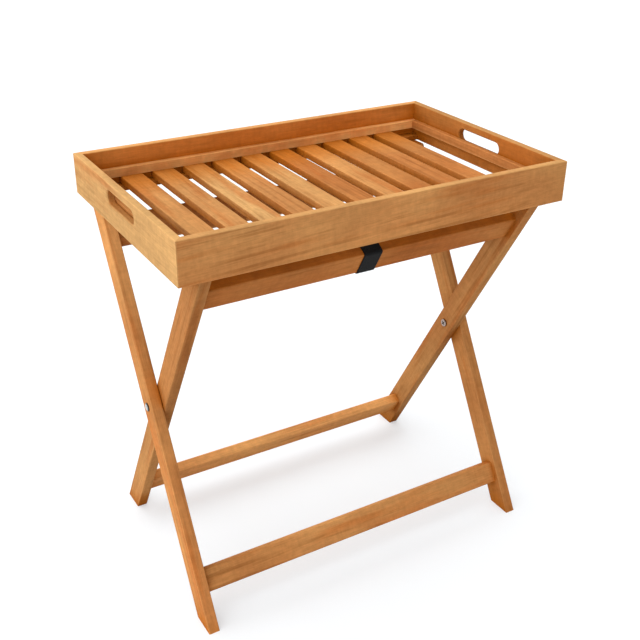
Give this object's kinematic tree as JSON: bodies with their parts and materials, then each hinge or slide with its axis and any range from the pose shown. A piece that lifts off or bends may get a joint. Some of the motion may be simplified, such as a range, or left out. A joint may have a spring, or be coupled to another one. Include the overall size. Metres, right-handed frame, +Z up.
{
  "type": "butler tray table",
  "caption": "Folding wooden butler tray table: a slatted tray with hand holes resting on a crossed-leg stand held open by a webbing strap.",
  "frame": {"origin": "on the floor, under the middle of the tray", "axes": "+Z up; +X to the right along the tray's long side; the front is towards -Y, where the outer legs have their feet"},
  "size_m": [0.65, 0.4, 0.669],
  "materials": {
    "tray_wood": "oiled honey-brown hardwood, satin",
    "slat_wood": "oiled honey-brown hardwood, satin",
    "stand_wood": "oiled honey-brown hardwood, satin",
    "dowel_wood": "plain pale hardwood",
    "bright_steel": "bright zinc plate",
    "webbing": "black woven webbing"
  },
  "bodies": {
    "outer_frame": {"outer_left_leg": "stand_wood", "outer_right_leg": "stand_wood", "top_back_rail": "stand_wood", "bottom_front_rail": "stand_wood", "outer_dowels": "dowel_wood", "left_pivot_sleeve": "bright_steel", "left_pivot_screw": "bright_steel", "left_pivot_washer": "bright_steel", "right_pivot_sleeve": "bright_steel", "right_pivot_screw": "bright_steel", "right_pivot_washer": "bright_steel", "strap": "webbing"},
    "inner_frame": {"inner_left_leg": "stand_wood", "inner_right_leg": "stand_wood", "top_front_rail": "stand_wood", "bottom_back_rail": "stand_wood", "inner_dowels": "dowel_wood"},
    "tray": {"front_wall": "tray_wood", "back_wall": "tray_wood", "left_wall": "tray_wood", "right_wall": "tray_wood", "front_cleat": "tray_wood", "back_cleat": "tray_wood", "front_batten": "tray_wood", "back_batten": "tray_wood", "left_batten": "tray_wood", "right_batten": "tray_wood", "slat_01": "slat_wood", "slat_02": "slat_wood", "slat_03": "slat_wood", "slat_04": "slat_wood", "slat_05": "slat_wood", "slat_06": "slat_wood", "slat_07": "slat_wood", "slat_08": "slat_wood", "slat_09": "slat_wood", "slat_10": "slat_wood"}
  },
  "joints": [
    {"name": "fold", "type": "hinge", "parent": "outer_frame", "child": "inner_frame", "pos_m": [0, 0, 0.31], "axis": [-1, 0, 0], "range_deg": [0, 52.8], "deforming": ["strap"]},
    {"name": "tray_lift", "type": "slide", "parent": "outer_frame", "child": "tray", "axis": [0, 0, 1], "range_m": [0, 0.21]}
  ],
  "couplings": [
    {"joint": "tray_lift", "follows": "fold", "m_per_rad": 0.22}
  ]
}
